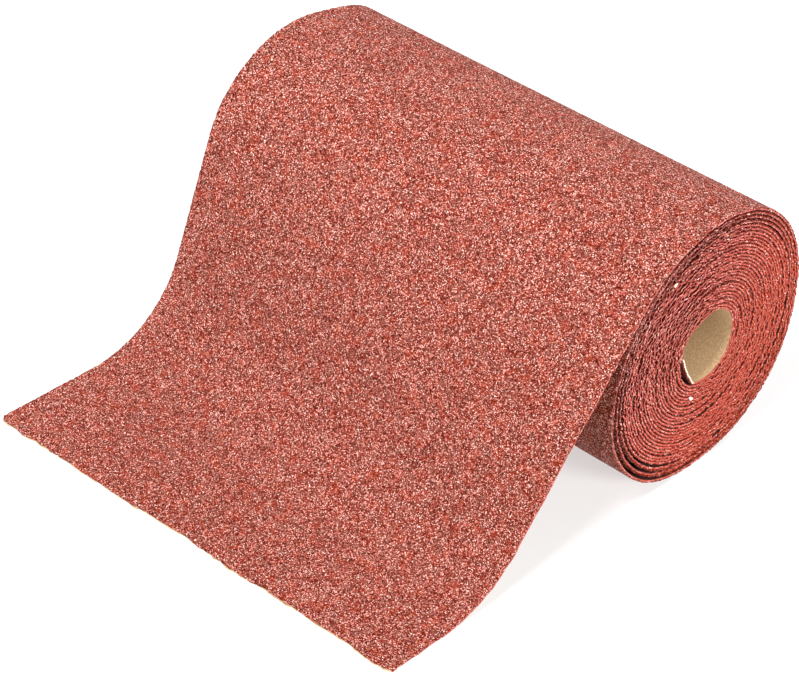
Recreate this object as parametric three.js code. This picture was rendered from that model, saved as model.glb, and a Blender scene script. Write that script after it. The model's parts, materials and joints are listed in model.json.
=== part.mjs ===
// A coreless roll of coarse abrasive paper with its free end pulled out on the bench.
//
// The object is one long strip, wound grit side out. The strip is a laminate: kraft backing
// paper inside, a coat of resin and abrasive grain outside. Millimetres, +Z up. X runs along
// the roll's axis, the free leaf comes off the top of the roll and runs out towards -Y, and
// the origin lies on the bench, in the middle of the object's bounding box.
import * as THREE from "three";

// Driving dimensions.
const STRIP_WIDTH = 115; // the strip's width is the roll's length
const ROLL_RADIUS = 31.8; // out to the grit of the outermost turn
const HOLE_RADIUS = 8.6; // in to the paper of the innermost turn
const PAPER_THICKNESS = 0.33;
const COAT_THICKNESS = 0.35;
const LOOSE_TURNS = ["outer_turn", "second_turn", "third_turn"];
const LOOSE_PITCH = 0.85; // radial step from one loose turn to the next
const TURNING_CLEARANCE = 0.35; // between the loose turns and the pack that turns in them
const LEAF_REACH = 96.5; // from the roll's axis to the cut end of the leaf
const LEAVE_ANGLE = 55; // slope of the leaf where it leaves the roll, in degrees
const FOOT_RADIUS = 29; // bend where the leaf comes down on the bench
const FLAP_START = 246; // where the innermost turn goes straight, degrees from +Y about +X
const FLAP_TIP = 177; // where the straight flap ends
const BEND_GAP = 0.8; // free line between the roll and the leaf, where the leaf hinges up
const FLAP_GAP = 0.4; // between the flap and each end of the innermost turn
const LINING_GAP = 0.1; // between the wound turns and the innermost one

// Facets. A whole number of 10 degree steps puts one level facet under the roll.
const STEP_ANGLE = 10;
const TURN_STEPS = 360 / STEP_ANGLE;
const FOOT_STEPS = 8;
const LINING_STEPS = 30;
const STEP_IN_PART = 0.3; // share of a turn in which it steps in by one pitch

const STRIP_THICKNESS = PAPER_THICKNESS + COAT_THICKNESS;
const AXIS_HEIGHT = ROLL_RADIUS * Math.cos(radians(STEP_ANGLE / 2));
const AXIS_Y = (LEAF_REACH - AXIS_HEIGHT) / 2;
const LEAVE_BEARING = 90 + LEAVE_ANGLE;
const PACK_RADIUS =
  ROLL_RADIUS -
  LOOSE_TURNS.length * LOOSE_PITCH -
  STRIP_THICKNESS -
  TURNING_CLEARANCE;

const coatMaterial = new THREE.MeshStandardMaterial({
  color: 0xb4544c,
  roughness: 0.85,
  metalness: 0,
});
const paperMaterial = new THREE.MeshStandardMaterial({
  color: 0xc4a983,
  roughness: 0.9,
  metalness: 0,
});
const woundMaterial = new THREE.MeshStandardMaterial({
  color: 0xa8453f,
  roughness: 0.9,
  metalness: 0,
});

function radians(degrees) {
  return (degrees * Math.PI) / 180;
}

// A point at a bearing round the roll's axis, in the plane across the roll.
function onCircle(radius, bearing) {
  const angle = radians(bearing);
  return new THREE.Vector2(radius * Math.cos(angle), radius * Math.sin(angle));
}

// A solid as long as the strip is wide: shape x and y become world Y and Z.
function acrossStrip(shape) {
  const geometry = new THREE.ExtrudeGeometry(shape, {
    depth: STRIP_WIDTH,
    steps: 1,
    bevelEnabled: false,
  });
  const turned = new THREE.Matrix4().makeBasis(
    new THREE.Vector3(0, 1, 0),
    new THREE.Vector3(0, 0, 1),
    new THREE.Vector3(1, 0, 0),
  );
  geometry.applyMatrix4(turned);
  geometry.translate(-STRIP_WIDTH / 2, 0, 0);
  return geometry;
}

// The path moved to its grit side by a distance, with mitred corners.
function offsetPath(path, distance) {
  return path.map((point, i) => {
    const before = path[Math.max(i - 1, 0)];
    const after = path[Math.min(i + 1, path.length - 1)];
    const into = point.clone().sub(before);
    const out = after.clone().sub(point);
    if (i === 0) into.copy(out);
    if (i === path.length - 1) out.copy(into);
    const along = into.normalize().add(out.normalize()).normalize();
    const cosine = along.dot(out);
    const side = new THREE.Vector2(along.y, -along.x);
    return point.clone().addScaledVector(side, distance / cosine);
  });
}

// One layer of the strip: the solid between two offsets of a path along its paper side.
function layer(path, low, high) {
  const under = offsetPath(path, low);
  const over = offsetPath(path, high);
  return acrossStrip(new THREE.Shape([...under, ...over.reverse()]));
}

// The two bonded layers of a stretch of the strip, each a named mesh.
function laminate(name, path) {
  const paper = new THREE.Mesh(
    layer(path, 0, PAPER_THICKNESS),
    paperMaterial,
  );
  paper.name = `${name}_paper`;
  const coat = new THREE.Mesh(
    layer(path, PAPER_THICKNESS, STRIP_THICKNESS),
    coatMaterial,
  );
  coat.name = `${name}_coat`;
  return [paper, coat];
}

// How many pitches the strip has stepped in after some turns from where the leaf leaves.
// It stays round over the top, back and bottom and steps in at the front, under the leaf.
function stepsIn(turns) {
  const whole = Math.floor(turns);
  const part = turns - whole;
  return whole + Math.max(0, (part - 1 + STEP_IN_PART) / STEP_IN_PART);
}

// The paper side of one loose turn, in the order that leads outwards to the leaf.
function loosePath(index) {
  const path = [];
  for (let step = TURN_STEPS; step >= 0; step -= 1) {
    const turns = index + step / TURN_STEPS;
    const inwards = step === TURN_STEPS ? index + 1 : stepsIn(turns);
    const radius = ROLL_RADIUS - STRIP_THICKNESS - inwards * LOOSE_PITCH;
    path.push(onCircle(radius, LEAVE_BEARING - step * STEP_ANGLE));
  }
  return path;
}

// The paper side of the leaf: straight off the roll, round the foot, flat on the bench.
function leafPath() {
  const slope = radians(LEAVE_ANGLE);
  const along = new THREE.Vector2(-Math.cos(slope), -Math.sin(slope));
  const leaving = onCircle(ROLL_RADIUS - STRIP_THICKNESS, LEAVE_BEARING);
  const drop = (leaving.y + AXIS_HEIGHT) / Math.sin(slope);
  const meeting = leaving.clone().addScaledVector(along, drop);
  const footCentre = new THREE.Vector2(
    meeting.x - FOOT_RADIUS * Math.tan(slope / 2),
    FOOT_RADIUS - AXIS_HEIGHT,
  );
  const path = [leaving.clone().addScaledVector(along, BEND_GAP)];
  for (let step = 0; step <= FOOT_STEPS; step += 1) {
    const angle = slope * (1 - step / FOOT_STEPS);
    path.push(
      new THREE.Vector2(
        footCentre.x + FOOT_RADIUS * Math.sin(angle),
        footCentre.y - FOOT_RADIUS * Math.cos(angle),
      ),
    );
  }
  path.push(new THREE.Vector2(-LEAF_REACH, -AXIS_HEIGHT));
  return path;
}

// The innermost turn, from the tip's bearing round to where its straight flap starts.
function liningPath() {
  const path = [];
  const sweep = 360 + FLAP_TIP - FLAP_START;
  for (let step = 0; step <= LINING_STEPS; step += 1) {
    const bearing = FLAP_START + (sweep * step) / LINING_STEPS;
    path.push(onCircle(HOLE_RADIUS, bearing));
  }
  return path;
}

// The straight inner end of the strip, which spans part of the hole as a chord.
function flapPath() {
  const tip = onCircle(HOLE_RADIUS, FLAP_TIP);
  const start = onCircle(HOLE_RADIUS, FLAP_START);
  const gap = start.clone().sub(tip).setLength(FLAP_GAP);
  return [tip.add(gap), start.sub(gap)];
}

function ring(outer, inner) {
  const shape = new THREE.Shape();
  const hole = new THREE.Path();
  for (let step = 0; step < TURN_STEPS; step += 1) {
    const bearing = (step + 0.5) * STEP_ANGLE;
    const outside = onCircle(outer, bearing);
    const inside = onCircle(inner, -bearing);
    if (step === 0) {
      shape.moveTo(outside.x, outside.y);
      hole.moveTo(inside.x, inside.y);
    } else {
      shape.lineTo(outside.x, outside.y);
      hole.lineTo(inside.x, inside.y);
    }
  }
  shape.closePath();
  hole.closePath();
  shape.holes.push(hole);
  return shape;
}

// The tight inner turns of the strip, from the loose ones down to the innermost.
function woundTurns() {
  const inner = HOLE_RADIUS + STRIP_THICKNESS + LINING_GAP;
  const mesh = new THREE.Mesh(
    acrossStrip(ring(PACK_RADIUS, inner)),
    woundMaterial,
  );
  mesh.name = "wound_turns";
  return mesh;
}

const pack = new THREE.Group();
pack.add(woundTurns());
pack.add(...laminate("innermost_turn", liningPath()));
pack.add(...laminate("inner_end_flap", flapPath()));

const looseWrap = new THREE.Group();
LOOSE_TURNS.forEach((name, index) => {
  looseWrap.add(...laminate(name, loosePath(index)));
});

const leaf = new THREE.Group();
leaf.add(...laminate("free_leaf", leafPath()));

const group = new THREE.Group();
group.position.set(0, AXIS_Y, AXIS_HEIGHT);
group.add(pack, looseWrap, leaf);

export default group;
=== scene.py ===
# The looks of a coreless roll of coarse red abrasive paper, wound grit side out, whose free
# end, the leaf, comes off the top and lies on the bench.
#
# The strip is built as what it is: a kraft backing layer and a coat of abrasive grain bonded
# to it, wound turn by turn. Every layer is a closed mesh between two heights above the bond
# line, the surface where coat and paper meet. Lengths are in millimetres until a mesh is made,
# and in metres in the studio.
import json
import math

import bpy
import numpy as np
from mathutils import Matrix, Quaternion, Vector


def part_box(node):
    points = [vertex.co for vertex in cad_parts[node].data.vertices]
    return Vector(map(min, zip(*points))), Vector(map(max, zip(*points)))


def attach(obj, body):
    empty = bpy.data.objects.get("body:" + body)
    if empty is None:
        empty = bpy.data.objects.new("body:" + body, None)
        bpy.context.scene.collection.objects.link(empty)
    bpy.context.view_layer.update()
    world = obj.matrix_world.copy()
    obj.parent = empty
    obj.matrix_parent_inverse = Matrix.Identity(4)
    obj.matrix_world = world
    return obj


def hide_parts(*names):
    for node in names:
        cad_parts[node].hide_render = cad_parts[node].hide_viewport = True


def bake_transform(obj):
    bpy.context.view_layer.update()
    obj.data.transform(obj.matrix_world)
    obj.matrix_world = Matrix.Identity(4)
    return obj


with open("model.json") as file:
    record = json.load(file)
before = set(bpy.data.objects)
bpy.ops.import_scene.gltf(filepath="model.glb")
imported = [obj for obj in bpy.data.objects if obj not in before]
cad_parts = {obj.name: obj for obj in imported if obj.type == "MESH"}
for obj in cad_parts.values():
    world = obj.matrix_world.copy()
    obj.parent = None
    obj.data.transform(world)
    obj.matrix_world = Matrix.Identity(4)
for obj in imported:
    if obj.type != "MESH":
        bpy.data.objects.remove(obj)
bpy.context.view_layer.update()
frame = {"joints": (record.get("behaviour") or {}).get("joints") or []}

MM = 0.001
RANDOM = np.random.default_rng(40)

# Sizes taken from the frame. Y and Z of the roll's axis are AXIS, X runs along it.
JOINTS = {joint["name"]: joint for joint in frame["joints"]}
AXIS = np.array(JOINTS["roll_turn"]["pos_m"][1:]) / MM
ROLL_RADIUS = AXIS[1]
HALF_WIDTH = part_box("outer_turn_coat")[1].x / MM
LEAF_REACH = AXIS[0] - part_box("free_leaf_coat")[0].y / MM

# The strip's make-up.
PAPER = 0.33  # backing paper's thickness
HOLE_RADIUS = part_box("innermost_turn_paper")[1].z / MM - AXIS[1] - PAPER
COAT = 0.35  # coat's nominal thickness, which single grains fall short of or pass
GRAIN_PITCH = 0.48  # one vertex for each grain
GRAIN_JITTER = 0.30  # how far a grain sits off its lattice place, in pitches
EDGE_CALM = 0.9  # the share of that which is left across the strip's edges
GRAIN_SKEW = 1.3  # above 1, most grains are low and a few stand proud
PROUD_GRAIN = (0.20, 0.36)  # lowest and highest grain on the strip's open surface
WOUND_GRAIN = (0.26, 0.40)  # the same inside the roll, where the grains bed in
FRAY = 0.25  # how far a point on the edge of a wound turn sits in or out
EDGE_FADE = 4  # the power by which an edge's wander fades towards the strip's middle
SHARP_ANGLE = 35.0  # paper creases sharper than this, in degrees, aren't smoothed

# How the strip is wound, as bearings round the axis in degrees from +Y towards +Z. Going
# inwards along the strip the bearing falls. Turns are counted from LEAVE, close to where the
# leaf's near edge leaves the round shape.
LEAVE = 145.0
SEAM = 72.0  # on top of the roll, where the leaf's pieces meet those of the outer turn
LOOSE_PITCH = 0.90  # radial step from one loose turn to the next
LOOSE_STEPS = 4  # such steps from the outer turn to the wound pack
OUTER_END = 1.08  # turns from LEAVE to where the outer turn's pieces meet the second's
SECOND_END = 2.0  # the same for the second and the third
LOOSE_END = 3.60  # turns from LEAVE to the inner end of the third, which is a long one
OUTER_STEP = (0.68, 1.0)  # shares of the outer turn between which it steps in by one pitch
INNER_STEP = (0.60, 0.63)  # the same for the innermost loose turn
PARTED = 0.45  # how much wider the outermost gap is at the upper front
PARTED_BEARING = 125.0
PARTED_HALF_ANGLE = 55.0
SPREAD = 0.75  # how far the outer turn bulges at the lower front
SPREAD_BEARING = 226.0
SPREAD_HALF_ANGLE = 75.0
SAG = 1.3  # how far it sags low at the back
SAG_BEARING = -43.0
SAG_HALF_ANGLE = 48.0
PRESSED = 0.38  # how far it is pressed flat where the roll stands
PRESSED_BEARING = -97.0
PRESSED_HALF_ANGLE = 30.0
LIFT_HALF_ANGLE = 24.0  # this far from the seam the lift of the strip's far edge is gone
FILLED = 1.5  # how much higher the loose turns' coat stands low at the back, to fill the gaps
FILLED_BEARING = -75.0
FILLED_HALF_ANGLE = 85.0
LOOSE_COLUMNS = (0, 0.5, 1.0, 2.0, 5.0, 20.0)  # the lattice's columns, from either edge
LOOSE_EDGE = (0.12, 0.25)  # the wander of the strip's edges: spacing in turns, size
LOOSE_EDGE_SAMPLES = 60  # in a turn
LOOSE_EDGE_REACH = LOOSE_END + 0.1  # turns over which that wander is drawn
PACK_CLEARANCE = 0.05  # between the loose turns and the wound pack that turns inside them
PACK_START = 105.0  # bearing of the wound pack's outer end
PACK_STEP = (0.86, 1.0)  # shares of each pack turn between which it steps in by one pitch
PACK_TURNS = 26  # give or take the part of a turn that ends it at the flap's tip
PACK_COLUMNS = (0, 0.6, 2.5)
PACK_EDGE = ((0.11, 0.22), (1.3, 0.15))  # a fine and a slow wander: spacing in turns, size
PACK_ALONG = 5000.0  # its distances along the strip start here, clear of the loose turns'
OPEN_SIDE = 0.45  # share of the coat's height missing where the pack's turns gape
OPEN_SIDE_BEARING = 185.0
OPEN_SIDE_HALF_ANGLE = 115.0
FLAP_START = 246.0  # where the innermost turn folds into the straight flap
FLAP_TIP = 177.0
FLAP_TIP_GAP = 0.1  # from the flap's tip to the lining
FLAP_BOW = 0.35  # how far the flap's middle stands off its chord
LINING_SETTLE = 50.0  # degrees in which the innermost turn steps in from the pack
LINING_COLUMNS = (0, 0.5, 1.0, 2.0, 4.0, 8.0, 14.0, 22.0, 30.0, 40.0, 50.0)
LINING_EDGE = (0.12, 0.2)  # the wander of its edges: spacing as a share of the turn, size
LINING_ALONG = 9000.0  # and its distances along the strip start here


def blend_between(a, b, share):
    return a + (b - a) * share


def ease(share):
    """0 to 1 with level ends."""
    held = np.clip(share, 0.0, 1.0)
    return held * held * (3 - 2 * held)


def wander(positions, spacing, size):
    """A smooth random line, up to size either way, with about one swing per two spacings."""
    place = (positions - np.min(positions)) / spacing
    knots = RANDOM.uniform(-size, size, int(np.max(place)) + 2)
    index = np.floor(place).astype(int)
    return blend_between(knots[index], knots[index + 1], ease(place - index))


def on_roll(radius, bearing):
    """Y and Z of a point at a radius and a bearing from the roll's axis."""
    angle = math.radians(bearing)
    return AXIS + radius * np.array([math.cos(angle), math.sin(angle)])


# ---------------------------------------------------------------- the strip's bond line

# A stretch of strip is a dictionary of arrays with one entry for each row and column: "bond"
# holds the points of the bond line and "place" the strip's own coordinates, across and along.
# Rows run inwards along the strip, columns from the far edge to the near edge.


def grid_of(bond, across, along):
    place = np.stack([across, along], axis=2)
    return {"bond": bond, "place": place}


def rows_of(strip, first, last):
    return {key: values[first:last + 1] for key, values in strip.items()}


def wound_grid(bearings, radii, columns, along, edge_shift):
    """A wound stretch, with edges that wander along X. One radius for each row, or a radius
    for each row and column."""
    angles = np.radians(bearings)[:, None]
    radii = radii.reshape(len(bearings), -1)
    y = AXIS[0] + radii * np.cos(angles)
    z = AXIS[1] + radii * np.sin(angles)
    rows = len(bearings)
    shape = (rows, len(columns))
    toward_near = columns / HALF_WIDTH
    across = np.broadcast_to(columns, shape)
    shifts = blend_between(edge_shift[0][:, None], edge_shift[1][:, None], (toward_near + 1) / 2)
    bond = np.empty(shape + (3,))
    bond[..., 0] = across + shifts * np.abs(toward_near) ** EDGE_FADE
    bond[..., 1] = y
    bond[..., 2] = z
    return grid_of(bond, across.copy(), np.broadcast_to(along[:, None], shape).copy())


def even_columns():
    count = round(2 * HALF_WIDTH / GRAIN_PITCH)
    return np.linspace(-HALF_WIDTH, HALF_WIDTH, count + 1)


def edge_columns(offsets):
    """Columns at these distances from either edge, for turns of which only the ends show."""
    near = HALF_WIDTH - np.array(offsets)
    return np.concatenate([-near, near[::-1]])


# The leaf's side view at its two edges. Away from the roll each is an arc over the top, a
# straight fall and a foot that bends onto the bench. The far edge springs clear of the roll:
# at the seam it already stands off by its lift.
FAR_EDGE = {"lift": 1.3, "leave": 79.0, "rise": 8.2, "over": 29.6,
            "slope": 70.0, "foot": 28.1, "reach": 1.3}
NEAR_EDGE = {"lift": 0.0, "leave": 140.3, "rise": 0.0, "over": 31.0,
             "slope": 50.3, "foot": 27.9, "reach": -1.8}
BOND_RADIUS = ROLL_RADIUS - COAT
STRAIGHT = 1e-9  # a turn smaller than this, in radians, is none
CUT_WAVE = (14.0, 0.35)  # the torn cut end's slow wave: spacing along it, size
CUT_NICK = (1.1, 0.32)  # the same for its nicks
CUT_HOLLOW = 0.2  # how far its middle is cut short
CUT_CORNER = 0.7  # how far its corners are worn back
CUT_CORNER_REACH = 1.2  # and how far in from a corner that is down to about a third


def arc_points(start, slope, length, turn, along):
    """Points at distances along one part that falls by slope towards -Y and turns steadily."""
    if abs(turn) < STRAIGHT:
        step = np.stack([-along * math.cos(slope), -along * math.sin(slope)], axis=1)
        return start + step
    bend = turn / length
    after = slope + bend * along
    step = np.stack([math.sin(slope) - np.sin(after), np.cos(after) - math.cos(slope)], axis=1)
    return start + step / bend


def walk(start, slope, parts, distances):
    """Points at distances along a line of parts, each (length, turn), straight or round."""
    points = np.empty((len(distances), 2))
    gone = 0.0
    for number, (length, turn) in enumerate(parts):
        here = distances >= gone
        if number < len(parts) - 1:
            here &= distances < gone + length
        points[here] = arc_points(start, slope, length, turn, distances[here] - gone)
        start = arc_points(start, slope, length, turn, np.array([length]))[0]
        slope += turn
        gone += length
    return points


def leaf_parts(edge):
    """The parts of one leaf column, from the seam to the cut end."""
    slope = math.radians(edge["slope"])
    leave = math.radians(edge["leave"] - SEAM)
    over = slope - math.radians(edge["leave"] - 90)
    parts = [(BOND_RADIUS * leave, leave), (edge["rise"], 0.0), (edge["over"] * over, over)]
    start, first_slope = seam_point(edge["lift"])
    length = sum(part[0] for part in parts)
    y, z = walk(start, first_slope, parts, np.array([length]))[0]
    fall = (z - PAPER - edge["foot"] * (1 - math.cos(slope))) / math.sin(slope)
    parts.append((fall, 0.0))
    parts.append((edge["foot"] * slope, -slope))
    foot_end = y - fall * math.cos(slope) - edge["foot"] * math.sin(slope)
    parts.append((foot_end - (AXIS[0] - LEAF_REACH - edge["reach"]), 0.0))
    return parts


def seam_point(lift):
    """Where one leaf column starts, and the slope at which it does."""
    return on_roll(BOND_RADIUS + lift, SEAM), math.radians(SEAM - 90)


def cut_line(columns):
    """How far the torn cut end stands out beyond a straight one, column by column."""
    wave = wander(columns, *CUT_WAVE)
    nick = wander(columns, *CUT_NICK)
    hollow = CUT_HOLLOW * (1 - (columns / HALF_WIDTH) ** 2)
    from_corner = HALF_WIDTH - np.abs(columns)
    worn = CUT_CORNER * np.exp(-from_corner / CUT_CORNER_REACH)
    return wave + nick - hollow - worn


def leaf_grid(columns):
    """The leaf, ruled in between its far and its near side view."""
    shares = (columns + HALF_WIDTH) / (2 * HALF_WIDTH)
    extra = cut_line(columns)
    edges = [{key: blend_between(FAR_EDGE[key], NEAR_EDGE[key], share) for key in FAR_EDGE}
             for share in shares]
    all_parts = [leaf_parts(edge) for edge in edges]
    lengths = np.array([sum(part[0] for part in parts) for parts in all_parts]) + extra
    rows = round(lengths.mean() / GRAIN_PITCH)
    fractions = np.linspace(1, 0, rows + 1)
    bond = np.empty((rows + 1, len(columns), 3))
    for column, parts in enumerate(all_parts):
        start, slope = seam_point(edges[column]["lift"])
        bond[:, column, 0] = columns[column]
        bond[:, column, 1:] = walk(start, slope, parts, fractions * lengths[column])
    along = -fractions[:, None] * lengths[None, :]
    across = np.broadcast_to(columns, along.shape).copy()
    return grid_of(bond, across, along), lengths.mean()


def step_in(part, limits):
    return ease((part - limits[0]) / (limits[1] - limits[0]))


def turns_in(turns):
    """How many pitches a loose turn has stepped in. All stay round over the top and the back.
    Then the innermost steps in sharply, the outer one gently, and the others in between."""
    whole = np.floor(turns)
    part = turns - whole
    depth = np.minimum(whole / 2, 1)
    return whole + blend_between(step_in(part, OUTER_STEP), step_in(part, INNER_STEP), depth)


def swell(bearings, middle, half_angle):
    """1 at the middle bearing, falling smoothly to 0 at half_angle to either side."""
    away = (bearings - middle + 180) % 360 - 180
    return np.cos(np.radians(90 * np.clip(away / half_angle, -1, 1))) ** 2


def loose_radius(turns):
    """The bond line's radius after some turns from LEAVE. What bends the outer turn bends the
    turns inside it less and less."""
    bearings = LEAVE - 360 * turns
    pitches = turns_in(turns)
    bulge = SPREAD * swell(bearings, SPREAD_BEARING, SPREAD_HALF_ANGLE)
    bulge += SAG * swell(bearings, SAG_BEARING, SAG_HALF_ANGLE)
    bulge -= PRESSED * swell(bearings, PRESSED_BEARING, PRESSED_HALF_ANGLE)
    parted = PARTED * swell(bearings, PARTED_BEARING, PARTED_HALF_ANGLE)
    shared = np.clip(1 - pitches / LOOSE_STEPS, 0, 1)
    part_shared = np.interp(pitches, (0, 1, LOOSE_STEPS), (0, 1, 0))
    return BOND_RADIUS - pitches * LOOSE_PITCH + bulge * shared - parted * part_shared


def loose_grid(first, last, columns, shifts):
    """A stretch of the loose turns, from one number of turns after LEAVE to another."""
    mean_radius = loose_radius(np.array([(first + last) / 2]))[0]
    rows = round((last - first) * 2 * math.pi * mean_radius / GRAIN_PITCH)
    turns = np.linspace(first, last, rows + 1)
    along = (turns - (LEAVE - SEAM) / 360) * 2 * math.pi * BOND_RADIUS
    edge_shift = [np.interp(turns, shifts[0], line) for line in shifts[1:]]
    bearings = LEAVE - 360 * turns
    first_pass = turns < 0.5
    off_roll = swell(bearings, SEAM, LIFT_HALF_ANGLE) * first_pass
    toward_far = (1 - columns / HALF_WIDTH) / 2
    radii = loose_radius(turns)[:, None] + FAR_EDGE["lift"] * off_roll[:, None] * toward_far
    return wound_grid(bearings, radii, columns, along, edge_shift)


def loose_edges():
    """Random edge shifts against the number of turns: the turns, far edges and near edges."""
    samples = np.linspace(0.0, LOOSE_EDGE_REACH, int(LOOSE_EDGE_REACH * LOOSE_EDGE_SAMPLES))
    return [samples] + [wander(samples, *LOOSE_EDGE) for _ in range(2)]


def pack_grid(columns):
    """The wound pack: one spiral from just under the loose turns to the innermost turn."""
    outer = BOND_RADIUS - LOOSE_STEPS * LOOSE_PITCH - PACK_CLEARANCE
    inner = HOLE_RADIUS + PAPER + COAT + PAPER
    count = PACK_TURNS + (PACK_START - FLAP_TIP) / 360
    rows = round(count * math.pi * (outer + inner) / GRAIN_PITCH)
    share = 1 - np.sqrt(1 - np.linspace(0, 1, rows + 1) * (1 - (inner / outer) ** 2))
    turns = count * share / share[-1]
    whole = np.floor(turns)
    steps = whole + step_in(turns - whole, PACK_STEP)
    radii = blend_between(outer, inner, steps / steps[-1])
    along = PACK_ALONG + turns * math.pi * (outer + radii)
    shift = [sum(wander(turns, *layer) for layer in PACK_EDGE) for _ in range(2)]
    return wound_grid(PACK_START - 360 * turns, radii, columns, along, shift)


def lining_grid(columns):
    """The innermost turn."""
    bond = HOLE_RADIUS + PAPER
    sweep = 360 + FLAP_TIP - FLAP_START
    rows = round(math.radians(sweep) * bond / GRAIN_PITCH)
    part = np.linspace(0, 1, rows + 1)
    bearings = 360 + FLAP_TIP - sweep * part
    stand_off = (PAPER + COAT) * (1 - ease(part * sweep / LINING_SETTLE))
    shift = [wander(part, *LINING_EDGE) for _ in range(2)]
    along = LINING_ALONG + part * math.radians(sweep) * bond
    return wound_grid(bearings, bond + stand_off, columns, along, shift)


def flap_grid(lining, columns):
    """The straight flap that the innermost turn folds into, a slightly bowed chord."""
    start = lining["bond"][-1, 0, 1:]
    tip = on_roll(HOLE_RADIUS - FLAP_TIP_GAP, FLAP_TIP)
    length = np.linalg.norm(tip - start)
    rows = round(length / GRAIN_PITCH)
    path = np.linspace(0, 1, rows + 1)[:, None]
    toward_tip = (tip - start) / length
    off_chord = np.array([-toward_tip[1], toward_tip[0]])
    points = blend_between(start, tip, path) + FLAP_BOW * np.sin(math.pi * path) * off_chord
    bond = np.empty((rows + 1, len(columns), 3))
    bond[..., 0] = blend_between(lining["bond"][-1, :, 0], columns, path)
    bond[..., 1] = points[:, :1]
    bond[..., 2] = points[:, 1:]
    across = np.broadcast_to(columns, bond.shape[:2]).copy()
    along = np.broadcast_to(lining["place"][-1, :1, 1] + length * path, across.shape).copy()
    return grid_of(bond, across, along)


# ---------------------------------------------------------------- layers as closed meshes


def unit(vectors):
    return vectors / np.linalg.norm(vectors, axis=-1, keepdims=True)


def normals_of(bond):
    """Unit directions from the bond line to the grit side."""
    along = np.gradient(bond, axis=0)
    across = np.gradient(bond, axis=1)
    return unit(np.cross(across, along))


def scatter(strip, fray=0.0):
    """Moves the lattice points off their places, in the sheet, as grains are, and the points
    of the sheet's two edges in or out by up to fray."""
    bond, place = strip["bond"], strip["place"]
    along = unit(np.gradient(bond, axis=0))
    across = unit(np.gradient(bond, axis=1))
    moves = RANDOM.uniform(-GRAIN_JITTER, GRAIN_JITTER, place.shape) * GRAIN_PITCH
    moves[:, [0, -1], 0] *= EDGE_CALM
    moved = bond + across * moves[..., :1] + along * moves[..., 1:]
    moved[:, [0, -1], 0] += RANDOM.uniform(-fray, fray, (len(bond), 2))
    return {"bond": moved, "place": place + moves, "normal": normals_of(bond)}


def every(count, step):
    return np.unique(np.append(np.arange(0, count, step), count - 1))


def top_triangles(rows, columns):
    """Two triangles for each lattice square, cut along a diagonal chosen at random."""
    corner = (np.arange(rows - 1)[:, None] * columns + np.arange(columns - 1)).ravel()
    a, b, c, d = corner, corner + 1, corner + columns + 1, corner + columns
    rising = RANDOM.random(len(corner)) < 0.5
    first = np.where(rising[:, None], np.stack([a, b, c], 1), np.stack([a, b, d], 1))
    second = np.where(rising[:, None], np.stack([a, c, d], 1), np.stack([b, c, d], 1))
    return np.concatenate([first, second]).tolist()


def closed_faces(rows, columns, step):
    """Faces of a closed layer whose top has every lattice point and whose bottom has every
    step-th. The bottom's points follow the top's in the order of under_rows, under_columns."""
    under_rows, under_columns = every(rows, step), every(columns, step)
    base, width = rows * columns, len(under_columns)
    faces = top_triangles(rows, columns)
    for r in range(len(under_rows) - 1):
        for c in range(width - 1):
            corner = base + r * width + c
            faces.append((corner, corner + width, corner + width + 1, corner + 1))
    for r, (low, high) in enumerate(zip(under_rows, under_rows[1:])):
        here, after = base + r * width, base + (r + 1) * width
        left = [row * columns for row in range(low, high + 1)]
        right = [row * columns + columns - 1 for row in range(high, low - 1, -1)]
        faces.append((*left, after, here))
        faces.append((*right, here + width - 1, after + width - 1))
    for c, (low, high) in enumerate(zip(under_columns, under_columns[1:])):
        first, last = base + c, base + (len(under_rows) - 1) * width + c
        front = list(range(high, low - 1, -1))
        back = [(rows - 1) * columns + column for column in range(low, high + 1)]
        faces.append((*front, first, first + 1))
        faces.append((*back, last + 1, last))
    return faces, under_rows, under_columns


def add_object(name, data):
    thing = bpy.data.objects.new(name, data)
    bpy.context.scene.collection.objects.link(thing)
    return thing


def layer_piece(name, strip, low, high, step, material, smooth=False):
    """One layer of a stretch of strip as a closed mesh, between two heights above the bond."""
    bond, normal = strip["bond"], strip["normal"]
    rows, columns = bond.shape[:2]
    faces, under_rows, under_columns = closed_faces(rows, columns, step)
    under = np.ix_(under_rows, under_columns)
    high = np.broadcast_to(high, (rows, columns))
    top = bond + normal * high[..., None]
    bottom = bond[under] + normal[under] * low
    points = np.concatenate([top.reshape(-1, 3), bottom.reshape(-1, 3)]) * MM
    top_place = np.concatenate([strip["place"], high[..., None]], axis=2).reshape(-1, 3)
    flat_low = np.full(strip["place"][under].shape[:2] + (1,), low)
    low_place = np.concatenate([strip["place"][under], flat_low], axis=2).reshape(-1, 3)
    mesh = bpy.data.meshes.new(name)
    mesh.from_pydata(points.tolist(), [], faces)
    attribute = mesh.attributes.new("strip", "FLOAT_VECTOR", "POINT")
    attribute.data.foreach_set("vector", np.concatenate([top_place, low_place]).ravel())
    if smooth:
        mesh.shade_smooth()
        mesh.set_sharp_from_angle(angle=math.radians(SHARP_ANGLE))
    mesh.materials.append(material)
    return add_object(name, mesh)


def grain_heights(shape, limits):
    """Random grain heights between two limits."""
    return blend_between(*limits, RANDOM.random(shape) ** GRAIN_SKEW)


def thinned(strip, row_step, column_step):
    """The same stretch with fewer rows and columns, for a layer without grain."""
    rows, columns = strip["bond"].shape[:2]
    kept = np.ix_(every(rows, row_step), every(columns, column_step))
    return {key: values[kept] for key, values in strip.items()}


# ---------------------------------------------------------------- materials


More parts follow.
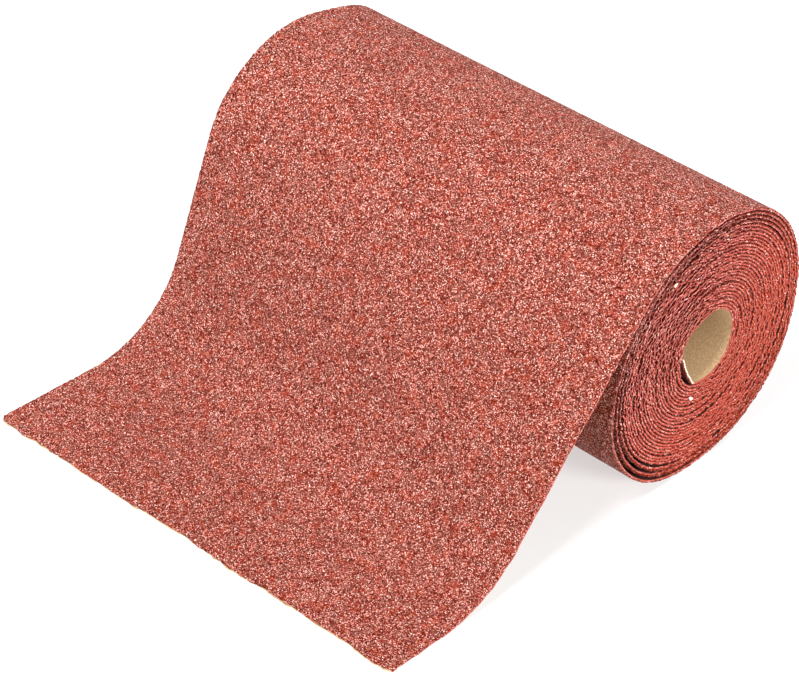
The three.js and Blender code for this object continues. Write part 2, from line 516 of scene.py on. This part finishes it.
def new_material(name):
    """A material, its shader, and functions that add a node and wire one to the shader."""
    material = bpy.data.materials.new(name)
    material.use_nodes = True
    nodes, links = material.node_tree.nodes, material.node_tree.links
    shader = nodes["Principled BSDF"]

    def add(kind, inputs=(), **settings):
        node = nodes.new(kind)
        for key, value in settings.items():
            setattr(node, key, value)
        for socket, value in dict(inputs).items():
            if isinstance(value, bpy.types.NodeSocket):
                links.new(value, node.inputs[socket])
            else:
                node.inputs[socket].default_value = value
        return node

    def wire(source, socket):
        links.new(source, shader.inputs[socket])

    return material, shader, add, wire


def ramp(add, value, stops):
    node = add("ShaderNodeValToRGB", {"Fac": value})
    elements = node.color_ramp.elements
    while len(elements) < len(stops):
        elements.new(0.5)
    for element, (position, colour) in zip(elements, stops):
        element.position = position
        element.color = (*colour, 1)
    return node.outputs["Color"]


def mixed(add, factor, first, second):
    """Two colours mixed. In a Mix node their sockets are 6 and 7, and the output's is 2."""
    node = add("ShaderNodeMix", data_type="RGBA")
    links = node.id_data.links
    for socket, value in ((0, factor), (6, first), (7, second)):
        if isinstance(value, bpy.types.NodeSocket):
            links.new(value, node.inputs[socket])
        elif socket == 0:
            node.inputs[socket].default_value = value
        else:
            node.inputs[socket].default_value = (*value, 1)
    return node.outputs[2]


def mapped(add, value, low, high, to_low=0.0, to_high=1.0):
    inputs = {"Value": value, "From Min": low, "From Max": high,
              "To Min": to_low, "To Max": to_high}
    return add("ShaderNodeMapRange", inputs).outputs["Result"]


def product(add, first, second):
    return add("ShaderNodeMath", {0: first, 1: second}, operation="MULTIPLY").outputs["Value"]


def bumped(add, height, strength, depth):
    """The normal of a surface with this height, up to a depth in millimetres."""
    inputs = {"Height": height, "Strength": strength, "Distance": depth * MM}
    return add("ShaderNodeBump", inputs).outputs["Normal"]


def strip_place(add):
    """The strip's own coordinates in millimetres: across, along and height above the bond."""
    return add("ShaderNodeAttribute", attribute_name="strip").outputs["Vector"]


def from_middle(add, place):
    """The distance from the strip's middle line."""
    across = add("ShaderNodeSeparateXYZ", {"Vector": place}).outputs["X"]
    return add("ShaderNodeMath", {0: across}, operation="ABSOLUTE").outputs["Value"]


GRAIN_SIZE = 0.19  # millimetres across one patch of colour
EDGE_GRAIN_SIZE = 0.29  # the same on the strip's edges
BLOTCH_SIZE = 2.6  # the same for the blotches
BLOTCH_SHARE = 0.20  # how far a warm or a dull blotch changes the grains' colour
WARM_NOISE = (0.50, 0.66)  # the noise at which a warm blotch begins and is full
DULL_NOISE = (0.50, 0.36)  # the same for a dull one
GRAIN_ROUGHNESS = (0.45, 0.85)
GRAIN_SPECULAR = 0.06
FACET_SIZE = 0.23  # millimetres across the small facets of the grains
FACET_BUMP = (1.0, 0.25)  # strength, depth
# grain colours from dark to pale; the two palest stops are painted glints, highlights put in the
# colour
GRAIN_AND_GLINT_STOPS = [
    (0.00, (0.030, 0.001, 0.001)),
    (0.28, (0.085, 0.005, 0.002)),
    (0.52, (0.190, 0.026, 0.014)),
    (0.76, (0.375, 0.092, 0.066)),
    (0.92, (0.670, 0.290, 0.235)),
    (1.00, (0.950, 0.660, 0.590)),
]
ORANGE_RED = (0.420, 0.045, 0.012)
GREY_BROWN = (0.170, 0.070, 0.048)


def grain_colour(add, place, size):
    """The colour of each grain, the palest of them painted glints, and three random numbers for
    it.
    """
    cells = add("ShaderNodeTexVoronoi", {"Vector": place, "Scale": 1 / size})
    tone = add("ShaderNodeSeparateColor", {"Color": cells.outputs["Color"]})
    return ramp(add, tone.outputs["Red"], GRAIN_AND_GLINT_STOPS), tone


RIM = (0.24, 0.14)  # how far from the strip's edge the edge's colour starts and is full
# the coat's edges in the wound turns: dark resin, and painted shade of the recesses between the
# turns
EDGE_RESIN_AND_SHADE_MAROON = (0.050, 0.002, 0.001)
EDGE_PINK = (0.840, 0.140, 0.105)
EDGE_ORANGE = (0.620, 0.066, 0.020)
GRIT_WARMTH = 0.20  # how orange-red the grit's edge is low at the back
PAPER_WARMTH = 0.42  # the same for the paper's
LOW_BACK = (0.0, 0.7, -0.7)  # the way from the upper front to low at the back
LOW_BACK_SPAN = (-0.018, 0.018)  # where along it the tints start and are full, in metres
SHADE_LEFT = 0.8  # the part of the edge's tint that is left low at the back: of the painted shade on the grit, of the pink dust on the paper
OWN_PART = (0.4, 1.6)  # how many times the mean a grain takes a tint, at least and at most


def on_rim(add, reach):
    """1 on the strip's two edges and 0 away from them."""
    return mapped(add, reach, HALF_WIDTH - RIM[0], HALF_WIDTH - RIM[1])


def edge_colour(add, colour, tone, place, shade, share, warmth):
    """The colour on the strip's edges: towards the shade colour by about that share, which on the
    grit is dark resin with painted shade between the turns and on the paper is pink dust, and low
    at the back towards orange-red by about that warmth, each grain by its own part of it."""
    edge = on_rim(add, from_middle(add, place))
    here = add("ShaderNodeTexCoord").outputs["Object"]
    low_back = add("ShaderNodeVectorMath", {0: here, 1: LOW_BACK}, operation="DOT_PRODUCT")
    tints = ((shade, tone.outputs["Blue"], share, SHADE_LEFT * share),
             (EDGE_ORANGE, tone.outputs["Green"], 0.0, warmth))
    for tint, chance, front, back in tints:
        amount = mapped(add, low_back.outputs["Value"], *LOW_BACK_SPAN, front, back)
        own = product(add, mapped(add, chance, 0.0, 1.0, *OWN_PART), amount)
        colour = mixed(add, product(add, edge, own), colour, tint)
    return colour


def grit_material(name, edge_shade_share=0.0):
    """Abrasive grain in red resin: grains of differing colour and gloss, in wide blotches, the
    palest of them painted glints. In the wound turns, of which only the edges show, those are
    darkened towards maroon by the edge shade share: dark resin and painted shade between the
    turns."""
    material, shader, add, wire = new_material(name)
    place = strip_place(add)
    grain, tone = grain_colour(add, place, EDGE_GRAIN_SIZE if edge_shade_share else GRAIN_SIZE)
    blotch = add("ShaderNodeTexNoise", {"Vector": place, "Scale": 1 / BLOTCH_SIZE, "Detail": 2.0})
    warm = mapped(add, blotch.outputs["Fac"], *WARM_NOISE, 0.0, BLOTCH_SHARE)
    dull = mapped(add, blotch.outputs["Fac"], *DULL_NOISE, 0.0, BLOTCH_SHARE)
    colour = mixed(add, warm, grain, ORANGE_RED)
    colour = mixed(add, dull, colour, GREY_BROWN)
    # dark resin and painted shade between the turns on the coat's edges
    if edge_shade_share:
        colour = edge_colour(add, colour, tone, place, EDGE_RESIN_AND_SHADE_MAROON, edge_shade_share, GRIT_WARMTH)
    wire(colour, "Base Color")
    wire(mapped(add, tone.outputs["Blue"], 0.0, 1.0, *GRAIN_ROUGHNESS), "Roughness")
    facets = add("ShaderNodeTexNoise", {"Vector": place, "Scale": 1 / FACET_SIZE, "Detail": 1.0})
    wire(bumped(add, facets.outputs["Fac"], *FACET_BUMP), "Normal")
    shader.inputs["Specular IOR Level"].default_value = GRAIN_SPECULAR
    return material


PAPER_ROUGHNESS = 0.85
CHIP_ROUGHNESS = 0.90
KRAFT_STOPS = [
    (0.0, (0.340, 0.205, 0.095)),
    (0.5, (0.520, 0.345, 0.180)),
    (1.0, (0.720, 0.520, 0.315)),
]
# painted light: the lining is the same kraft painted paler than the leaf's, making up for the
# shade in the hole
PAINTED_LIGHT_LINING_STOPS = [
    (0.0, (0.480, 0.305, 0.150)),
    (0.5, (0.680, 0.465, 0.255)),
    (1.0, (0.860, 0.650, 0.410)),
]
CREAM = (0.750, 0.620, 0.480)
PALE_CREAM = (0.950, 0.850, 0.750)
# painted shade deeper in the hole: the brown the lining darkens to, and how far
PAINTED_SHADE_BROWN = (0.160, 0.095, 0.040)
PAINTED_SHADE_SHARE = 0.60
# painted shade in the gaps between the turns: the dark maroon the paper takes near its edges
GAP_MAROON = (0.060, 0.006, 0.004)
GAP_SHADE_FADE = 0.4  # how much further in the painted gap shade fades out, as a share of its depth
FLECK_BROWN = (0.160, 0.085, 0.045)
FLECK_SIZE = 0.9  # millimetres from one fleck to the next
FLECK_RIM = (0.20, 0.12)  # how far from a fleck's middle it begins and is full, in its sizes
FLECK_SHARE = 0.5
FIBRES = {"Scale": 3.6, "Detail": 5.0, "Roughness": 0.75}
CHIP_FIBRES = {"Scale": 4000.0, "Detail": 3.0}  # scale per metre
FIBRE_STRETCH = (1.0, 0.5, 1.0)  # a smaller scale along the strip makes fibres longer there
FIBRE_NOISE = (0.32, 0.68)  # the noise at which paper is darkest and palest
FIBRE_BUMP = (0.35, 0.1)  # strength, depth


def kraft_face(add, place, stops):
    """The colour of kraft paper with fibres and flecks, and the fibres' height."""
    stretched = add("ShaderNodeMapping", {"Vector": place, "Scale": FIBRE_STRETCH})
    fibre = add("ShaderNodeTexNoise", {"Vector": stretched.outputs["Vector"], **FIBRES})
    colour = ramp(add, mapped(add, fibre.outputs["Fac"], *FIBRE_NOISE), stops)
    flecks = add("ShaderNodeTexVoronoi", {"Vector": place, "Scale": 1 / FLECK_SIZE})
    fleck = mapped(add, flecks.outputs["Distance"], *FLECK_RIM, 0.0, FLECK_SHARE)
    return mixed(add, fleck, colour, FLECK_BROWN), fibre.outputs["Fac"]


def kraft_material(name, stops=KRAFT_STOPS, gap_shade_depth=0.0, painted_shade_depth=0.0, edge_pink=0.28):
    """Kraft paper: soft beige with fibres and flecks. Where it lies in the roll, it darkens to
    maroon from the strip's edges inwards: painted shade in the gaps between the turns. In the
    hole it darkens from the edges inwards, down to the
    painted shade depth: painted shade deeper in the hole. Grit sticks to its edges, in part as
    pink dust. Without pink they are clean."""
    material, shader, add, wire = new_material(name)
    place = strip_place(add)
    colour, height = kraft_face(add, place, stops)
    reach = from_middle(add, place)
    # painted shade in the gaps between the turns: the paper darkens to maroon near the strip's
    # edges
    if gap_shade_depth:
        inside = HALF_WIDTH - gap_shade_depth
        gap_shaded = mapped(add, reach, inside - GAP_SHADE_FADE * gap_shade_depth, inside)
        colour = mixed(add, gap_shaded, colour, GAP_MAROON)
    # painted shade: the lining darkens deeper in the hole, away from its ends
    if painted_shade_depth:
        painted_hole_shade = mapped(add, reach, HALF_WIDTH - painted_shade_depth, HALF_WIDTH, PAINTED_SHADE_SHARE, 0.0)
        colour = mixed(add, painted_hole_shade, colour, PAINTED_SHADE_BROWN)
    edge = CREAM
    if edge_pink:
        grain, tone = grain_colour(add, place, EDGE_GRAIN_SIZE)
        edge = edge_colour(add, grain, tone, place, EDGE_PINK, edge_pink, PAPER_WARMTH)
    wire(mixed(add, on_rim(add, reach), colour, edge), "Base Color")
    wire(bumped(add, height, *FIBRE_BUMP), "Normal")
    shader.inputs["Roughness"].default_value = PAPER_ROUGHNESS
    return material


def chip_material(name):
    """Torn paper: the pale inside of the backing, with fine fibres."""
    material, shader, add, wire = new_material(name)
    here = add("ShaderNodeTexCoord").outputs["Object"]
    fibre = add("ShaderNodeTexNoise", {"Vector": here, **CHIP_FIBRES})
    wire(mixed(add, fibre.outputs["Fac"], CREAM, PALE_CREAM), "Base Color")
    shader.inputs["Roughness"].default_value = CHIP_ROUGHNESS
    return material


# ---------------------------------------------------------------- the pieces

# Of the lattice of the leaf and the outer turn, smooth faces take every so many rows and columns.
GRIT_UNDER_STEP = 8
BACKING_STEPS = (4, 2)


def bearings_of(strip):
    """The bearing round the roll's axis of each row of a wound stretch, as a column."""
    from_axis = strip["bond"][:, :1, 1:] - AXIS
    return np.degrees(np.arctan2(from_axis[..., 1], from_axis[..., 0]))


def add_grit(name, strip, material, scale=1.0):
    """The coat of a wound stretch, its grains' heights times the scale."""
    heights = grain_heights(strip["bond"].shape[:2], WOUND_GRAIN) * scale
    return layer_piece(name, strip, 0.0, heights, 1, material)


def add_backing(name, strip, material, smooth=False):
    return layer_piece(name, strip, -PAPER, 0.0, 1, material, smooth)


def settle(piece, body, node):
    """The piece stands for a CAD node and moves with its body."""
    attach(piece, body)
    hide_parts(node)


def build_outer_strip(grit, leaf_paper, turn_paper, shifts):
    """The leaf and the outer turn: one lattice, parted at the seam on top of the roll."""
    columns = even_columns()
    leaf, leaf_length = leaf_grid(columns)
    seam_turns = (LEAVE - SEAM) / 360
    turn = loose_grid(seam_turns, OUTER_END, columns, shifts)
    whole = scatter({key: np.concatenate([leaf[key], turn[key][1:]]) for key in leaf})
    whole_heights = grain_heights(whole["bond"].shape[:2], PROUD_GRAIN)
    seam_row = len(leaf["bond"]) - 1
    last_row = len(whole["bond"]) - 1
    pieces = {}
    for name, first, last, paper in (("leaf", 0, seam_row, leaf_paper),
                                     ("outer_turn", seam_row, last_row, turn_paper)):
        part = rows_of(whole, first, last)
        heights = whole_heights[first:last + 1]
        coat = layer_piece(f"{name}_grit", part, 0.0, heights, GRIT_UNDER_STEP, grit)
        backing_part = thinned(part, *BACKING_STEPS)
        backing = add_backing(f"{name}_backing", backing_part, paper, smooth=True)
        pieces[name] = (coat, backing)
    return pieces, leaf_length


def bend_leaf(coat, backing, leaf_length):
    """The leaf's pieces are baked where they lie, and the CAD nodes they stand for are hidden."""
    for piece, node, slot in ((coat, "free_leaf_coat", "abrasive_coat"),
                              (backing, "free_leaf_paper", "backing_paper")):
        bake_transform(piece)
        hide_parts(node)


def build_loose_turns(grit, kraft, shifts):
    """The second and third turns, of which only the ends show."""
    columns = edge_columns(LOOSE_COLUMNS)
    for name, first, last in (("second_turn", OUTER_END, SECOND_END),
                              ("third_turn", SECOND_END, LOOSE_END)):
        part = scatter(loose_grid(first, last, columns, shifts), FRAY)
        filled = 1 + FILLED * swell(bearings_of(part), FILLED_BEARING, FILLED_HALF_ANGLE)
        coat = add_grit(f"{name}_grit", part, grit, filled)
        backing = add_backing(f"{name}_backing", part, kraft)
        settle(coat, "loose_wrap", f"{name}_coat")
        settle(backing, "loose_wrap", f"{name}_paper")


def build_pack(grit, kraft):
    """The wound pack's spiral, in its two layers."""
    part = scatter(pack_grid(edge_columns(PACK_COLUMNS)), FRAY)
    thinner = OPEN_SIDE * swell(bearings_of(part), OPEN_SIDE_BEARING, OPEN_SIDE_HALF_ANGLE)
    coat = add_grit("wound_turns_grit", part, grit, 1 - thinner)
    backing = add_backing("wound_turns_backing", part, kraft)
    settle(coat, "wound_pack", "wound_turns")
    settle(backing, "wound_pack", "wound_turns")


CHIPS = ((0.845, 123.0, 0.75), (0.385, -110.0, 0.85))  # share of the radius, bearing, size
CHIP_PROUD = 0.15  # how far a chip's middle stands out of the end face
CHIP_TILT = 0.4  # how far it leans, as the slope either way
CHIP_CORNERS = 7
CHIP_RAGGED = (0.5, 1.0)  # the nearest and the farthest corner, as shares of the size
CHIP_NARROW = 0.6  # its width as a share of its length
CHIP_HALF_THICKNESS = 0.1


def build_chip(number, radius, bearing, size, paper):
    """A chip of torn paper that sticks out of the near end face: a thin ragged prism."""
    outwards = on_roll(1.0, bearing) - AXIS
    centre = np.array([HALF_WIDTH + CHIP_PROUD, *on_roll(radius, bearing)])
    normal = unit(RANDOM.uniform(-CHIP_TILT, CHIP_TILT, 3) + (1.0, 0.0, 0.0))
    side = unit(np.cross(normal, (0.0, *outwards)))
    other = np.cross(normal, side)
    turns = np.linspace(0, 2 * math.pi, CHIP_CORNERS, endpoint=False)[:, None]
    reach = size * RANDOM.uniform(*CHIP_RAGGED, (CHIP_CORNERS, 1))
    rim = centre + reach * (np.cos(turns) * side + CHIP_NARROW * np.sin(turns) * other)
    half = CHIP_HALF_THICKNESS * normal
    points = np.concatenate([rim + half, rim - half]) * MM
    top = tuple(range(CHIP_CORNERS))
    bottom = tuple(CHIP_CORNERS + corner for corner in reversed(top))
    following = top[1:] + top[:1]
    sides = [(here, here + CHIP_CORNERS, after + CHIP_CORNERS, after)
             for here, after in zip(top, following)]
    mesh = bpy.data.meshes.new(f"paper_chip_{number}")
    mesh.from_pydata(points.tolist(), [], [top, bottom, *sides])
    mesh.materials.append(paper)
    chip = add_object(mesh.name, mesh)
    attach(chip, "wound_pack")


def build_inner_end(grit, lining_paper, flap_paper):
    """The innermost turn, whose paper lines the hole, and the straight flap."""
    columns = edge_columns(LINING_COLUMNS)
    lining = lining_grid(columns)
    flap = flap_grid(lining, columns)
    for name, strip, paper in (("innermost_turn", lining, lining_paper),
                               ("inner_end_flap", flap, flap_paper)):
        part = scatter(strip)
        coat = add_grit(f"{name}_grit", part, grit)
        backing = add_backing(f"{name}_lining", part, paper, smooth=True)
        settle(coat, "wound_pack", f"{name}_coat")
        settle(backing, "wound_pack", f"{name}_paper")


# ---------------------------------------------------------------- studio

CAMERA_AZIMUTH = 42.0
CAMERA_ELEVATION = 35.6
CAMERA_ROLL = 2.7
CAMERA_DISTANCE = 0.54978
CAMERA_AIM = (0.00256, -0.00324, 0.02225)
CAMERA_LENS = 115.1
LIGHT_AIM = (0, 0, 0.02)
LIGHTS = (  # name, place, size, power
    ("overhead", (-0.02, -0.62, 1.00), 0.45, 20.9),
    ("back", (-0.25, 0.95, 0.65), 0.40, 5.2),
    ("side", (1.08, -0.04, 0.46), 0.35, 15.0),
)
WORLD_STRENGTH = 0.28
FLOOR_REACH = 4.0
FLOOR_GREY = 0.42
FLOOR_ROUGHNESS = 0.90
FLOOR_GLOW = 0.58  # keeps the shadows on the floor pale


def add_camera():
    azimuth, elevation = math.radians(CAMERA_AZIMUTH), math.radians(CAMERA_ELEVATION)
    back = Vector((math.sin(azimuth) * math.cos(elevation),
                   -math.cos(azimuth) * math.cos(elevation),
                   math.sin(elevation)))
    camera = add_object("camera", bpy.data.cameras.new("camera"))
    camera.data.lens = CAMERA_LENS
    camera.data.clip_start = 0.01
    camera.location = Vector(CAMERA_AIM) + back * CAMERA_DISTANCE
    camera.rotation_mode = "QUATERNION"
    roll = Quaternion((0, 0, 1), math.radians(CAMERA_ROLL))
    camera.rotation_quaternion = (-back).to_track_quat("-Z", "Y") @ roll
    bpy.context.scene.camera = camera


def add_area_light(name, place, size, power):
    light = bpy.data.lights.new(name, "AREA")
    light.size = size
    light.energy = power
    lamp = add_object(name, light)
    lamp.location = place
    lamp.rotation_mode = "QUATERNION"
    lamp.rotation_quaternion = (Vector(LIGHT_AIM) - Vector(place)).to_track_quat("-Z", "Y")


def add_floor():
    mesh = bpy.data.meshes.new("floor")
    signs = ((-1, -1), (1, -1), (1, 1), (-1, 1))
    corners = [(x * FLOOR_REACH, y * FLOOR_REACH, 0) for x, y in signs]
    mesh.from_pydata(corners, [], [(0, 1, 2, 3)])
    material, shader, _, _ = new_material("floor")
    shader.inputs["Base Color"].default_value = (FLOOR_GREY, FLOOR_GREY, FLOOR_GREY, 1)
    shader.inputs["Emission Color"].default_value = (1, 1, 1, 1)
    shader.inputs["Emission Strength"].default_value = FLOOR_GLOW
    shader.inputs["Roughness"].default_value = FLOOR_ROUGHNESS
    mesh.materials.append(material)
    floor = add_object("floor", mesh)


def add_studio():
    scene = bpy.context.scene
    scene.view_settings.view_transform = "Standard"
    world = bpy.data.worlds.new("studio")
    world.use_nodes = True
    background = world.node_tree.nodes["Background"]
    background.inputs["Color"].default_value = (1, 1, 1, 1)
    background.inputs["Strength"].default_value = WORLD_STRENGTH
    scene.world = world
    for light in LIGHTS:
        add_area_light(*light)
    add_floor()
    add_camera()


def main():
    add_studio()
    grit = grit_material("abrasive_grain")
    # the wound and the parted coat: edges darkened for dark resin and painted shade between the
    # turns
    wound = grit_material("wound_grain", edge_shade_share=0.70)
    parted = grit_material("parted_grain", edge_shade_share=0.90)
    kraft = kraft_material("kraft_backing")
    # the lining: kraft painted paler as painted light, with painted shade deeper in the hole
    lining = kraft_material("lining_backing", PAINTED_LIGHT_LINING_STOPS, painted_shade_depth=20.0)
    clean = kraft_material("clean_edged_backing", edge_pink=0.0)
    # paper in the roll, with painted shade in the gaps between the turns
    gap_shaded = kraft_material("gap_shaded_backing", gap_shade_depth=9.0)
    parted_paper = kraft_material("parted_backing", gap_shade_depth=9.0, edge_pink=0.10)
    shifts = loose_edges()
    outer, leaf_length = build_outer_strip(grit, kraft, parted_paper, shifts)
    settle(outer["outer_turn"][0], "loose_wrap", "outer_turn_coat")
    settle(outer["outer_turn"][1], "loose_wrap", "outer_turn_paper")
    bend_leaf(*outer["leaf"], leaf_length)
    build_loose_turns(parted, parted_paper, shifts)
    build_pack(wound, gap_shaded)
    build_inner_end(wound, lining, clean)
    chip_paper = chip_material("torn_paper")
    for number, (share, bearing, size) in enumerate(CHIPS, 1):
        build_chip(number, share * ROLL_RADIUS, bearing, size, chip_paper)


main()
